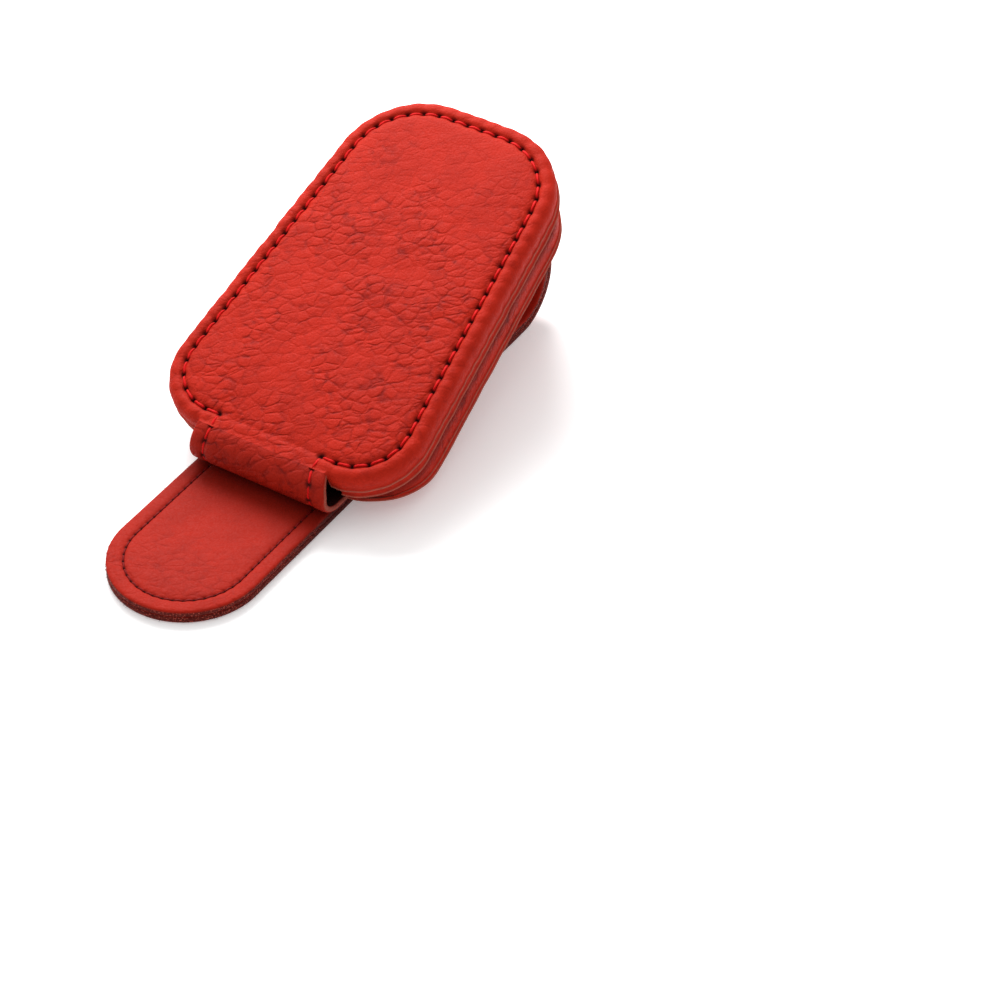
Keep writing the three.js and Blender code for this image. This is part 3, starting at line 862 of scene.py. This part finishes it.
def clip_layer(
    name, profile, nodes, material, half_width=CLIP_HALF_WIDTH, tip=0.0, edge_rings=(), seam=False
):
    """A layer of the clip from the tongue round the bend, drawn flat and then bent."""
    rings = []
    for inset, n in profile:
        ring = clip_ring(inset, half_width, tip)
        rings.append(np.column_stack([ring, np.full(len(ring), n)]))
    rings = np.array(rings)
    columns = rings.shape[1]
    marked = np.zeros(len(profile))
    marked[list(edge_rings)] = 1
    hole = np.zeros(rings.shape[:2])
    if seam:
        ragged = rng.normal(0, 0.06, columns)
        for k in edge_rings:
            rings[k, :, 0] += np.sign(rings[k, :, 0]) * ragged
        holes = clip_seam()
        on_top = rings[..., 2] > CLIP_THICK - 0.5
        near = near_holes(rings, holes, 0.42, 0.26) * on_top
        rings[..., 2] -= 0.25 * near
        # the holes along the tongue's seam are dented and painted dark: painted shade
        hole = 0.9 * near
    # on the clip the inside attribute carries the painted shadow under the neck's roll
    made = lofted(name, rings, clip_to_world, material, CLIP_STRAIGHT,
                  edge=np.repeat(marked, columns), inside=roll_shadow(rings[..., 1]), hole=hole)
    # the free arm lies below both heights and the fixed arm above them, so only the bend turns
    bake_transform(made)
    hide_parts(*nodes)
    return made


def roll_shadow(u):
    """Painted shadow: darker leather on the tongue where the neck's roll lies over it."""
    roll = NECK_Y - CLIP_TIP
    return ROLL_SHADOW_DARK * np.exp(-((u - roll) / ROLL_SHADOW_REACH) ** 2)


def clip():
    outer = [
        (13.0, 0.0), (9.0, 0.0), (4.0, 0.0), (1.0, 0.0), (0.35, 0.05), (0.08, 0.22), (0.0, 0.5),
        (0.02, 1.0), (0.10, 1.32), (0.35, 1.42), (3.6, 1.42), (5.6, 1.0), (9.0, 1.0), (13.0, 1.0),
    ]
    inner = [
        (13.0, 2.0), (9.0, 2.0), (5.6, 2.0), (3.6, 1.50), (0.35, 1.50), (0.08, 1.62), (0.0, 1.95),
        (0.0, 2.4), (0.08, 2.68), (0.30, 2.84), (0.8, 2.90), (1.8, 2.90), (2.5, 2.84), (2.8, 2.74),
        (3.05, 2.64), (3.20, 2.61), (3.35, 2.64), (3.6, 2.74), (4.0, 2.84), (5.0, 2.90), (8.0, 2.90),
        (13.0, 2.90),
    ]
    leaf = [(8.0, 1.2), (0.3, 1.2), (0.02, 1.3), (0.02, 1.7), (0.3, 1.8), (8.0, 1.8)]
    clip_layer("clip_outer_leather", outer, ["clip_outer_arm", "clip_outer_root"], LEATHER_CLIP,
               edge_rings=(5, 6, 7, 8))
    clip_layer("clip_inner_leather", inner, ["clip_inner_arm", "clip_inner_root"], LEATHER_CLIP,
               edge_rings=(5, 6, 7), seam=True)
    clip_layer("clip_leaf", leaf, ["clip_leaf_arm", "clip_leaf_root"], STEEL,
               half_width=LEAF_HALF_WIDTH, tip=LEAF_SETBACK)
    holes = clip_seam()
    points = clip_to_world(np.column_stack([holes, np.full(len(holes), CLIP_THICK - 0.34)]))
    normals = np.tile((0.0, 0.0, 1.0), (len(holes), 1))
    sewn = stitches("clip_stitches", points, normals, THREAD_CLIP, radius=0.20, sink=0.3, rows=8, sides=8)
    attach(sewn, "clip_arm")
    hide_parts("clip_thread")
    tongue_fibres()


def tongue_fibres():
    """Loose fibres along the raw edge of the tongue."""
    ring = clip_ring(0.0)
    half = len(ring) // 2
    right = ring[:half][ring[:half, 1] < 60]
    edge = np.concatenate([right[::-1], right[1:] * (-1, 1)])
    points, faces = [], []
    for _ in range(FIBRES):
        k = rng.integers(1, len(edge) - 1)
        along = edge[k + 1] - edge[k - 1]
        out = np.array([along[1], -along[0]]) / np.linalg.norm(along)
        out *= -1 if out @ (edge[k] - (0, CLIP_HALF_WIDTH)) < 0 else 1
        root = np.array([*edge[k], rng.uniform(0.2, 2.6)])
        reach = rng.uniform(0.10, 0.45)
        lean = rng.normal(0, 0.35, 3)
        tip = root + reach * (np.array([*out, 0]) + lean)
        width = rng.uniform(0.03, 0.06)
        side = np.cross(tip - root, (0, 0, 1))
        side *= width / (np.linalg.norm(side) + 1e-6)
        start = len(points)
        points += [root - side, root + side, tip, root + (0, 0, 2 * width)]
        for first, second in ((0, 1), (1, 3), (3, 0)):
            faces.append((start + first, start + second, start + 2))
    points = np.array(points)
    points[:, 2] = np.maximum(points[:, 2], FIBRE_CLEARANCE)
    made = make_object(
        "tongue_fibres", clip_to_world(points), faces, [LEATHER_CLIP], flat=points,
        edge=np.ones(len(points)), inside=np.zeros(len(points)), hole=np.zeros(len(points)),
    )
    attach(made, "clip_arm")


# ---- stage ----------------------------------------------------------------------------

def make_camera():
    data = bpy.data.cameras.new("camera")
    data.lens = LENS
    data.clip_start = 0.01
    camera = bpy.data.objects.new("camera", data)
    bpy.context.scene.collection.objects.link(camera)
    flat = math.cos(ELEVATION)
    back = Vector((math.sin(AZIMUTH) * flat, -math.cos(AZIMUTH) * flat, math.sin(ELEVATION)))
    camera.location = TARGET + back * DISTANCE
    camera.rotation_mode = "QUATERNION"
    camera.rotation_quaternion = (-back).to_track_quat("-Z", "Y")
    bpy.context.scene.camera = camera


def area_light(name, direction, distance, size, energy):
    data = bpy.data.lights.new(name, "AREA")
    data.size = size
    data.energy = energy
    light = bpy.data.objects.new(name, data)
    towards = Vector(direction).normalized()
    light.location = towards * distance
    light.rotation_mode = "QUATERNION"
    light.rotation_quaternion = towards.to_track_quat("Z", "Y")
    bpy.context.scene.collection.objects.link(light)


def make_stage():
    g = Graph("white_floor")
    place = g.node("TexCoord").outputs["Object"]
    tone = g.noise(place, 3.0, 2.0).outputs["Fac"]
    g.set(Base_Color=g.mix(tone, (0.92, 0.92, 0.92, 1), (0.90, 0.90, 0.90, 1)), Roughness=0.9)
    g.shader.inputs["Specular IOR Level"].default_value = 0.1
    g.shader.inputs["Emission Color"].default_value = (1, 1, 1, 1)
    g.shader.inputs["Emission Strength"].default_value = TABLE_GLOW
    size = 6000.0
    corners = np.array([(-size, -size, 0), (size, -size, 0), (size, size, 0), (-size, size, 0)])
    floor = make_object("floor", corners, [(0, 1, 2, 3)], [g.material])

    world = bpy.data.worlds.new("studio")
    world.use_nodes = True
    tree = world.node_tree
    tree.nodes["Background"].inputs["Color"].default_value = (1, 1, 1, 1)
    place = tree.nodes.new("ShaderNodeTexCoord")
    facing = tree.nodes.new("ShaderNodeVectorMath")
    facing.operation = "DOT_PRODUCT"
    facing.inputs[1].default_value = Vector(LIT_FROM).normalized()
    brightness = tree.nodes.new("ShaderNodeMapRange")
    brightness.inputs["From Min"].default_value = -0.8
    brightness.inputs["To Min"].default_value = SKY_DIM
    brightness.inputs["To Max"].default_value = SKY_BRIGHT
    tree.links.new(place.outputs["Generated"], facing.inputs[0])
    tree.links.new(facing.outputs["Value"], brightness.inputs["Value"])
    tree.links.new(brightness.outputs["Result"], tree.nodes["Background"].inputs["Strength"])
    bpy.context.scene.world = world
    area_light("key", LIT_FROM, 0.40, 0.26, 2.2)
    bpy.context.scene.view_settings.view_transform = "Standard"


def dress_hidden_parts():
    """Gives each CAD solid that stays its own material."""
    dress = {
        "flap_core": BOARD, "base_core": BOARD,
        "flap_magnet_far": NICKEL, "flap_magnet_near": NICKEL,
        "base_magnet_far": NICKEL, "base_magnet_near": NICKEL,
        "clip_rivet_near": NICKEL, "clip_rivet_far": NICKEL,
    }
    for node, material in dress.items():
        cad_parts[node].data.materials.clear()
        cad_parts[node].data.materials.append(material)


make_camera()
make_stage()
flap_cover()
flap_lining_pad()
base_cover()
base_back()
neck()
clip()
dress_hidden_parts()
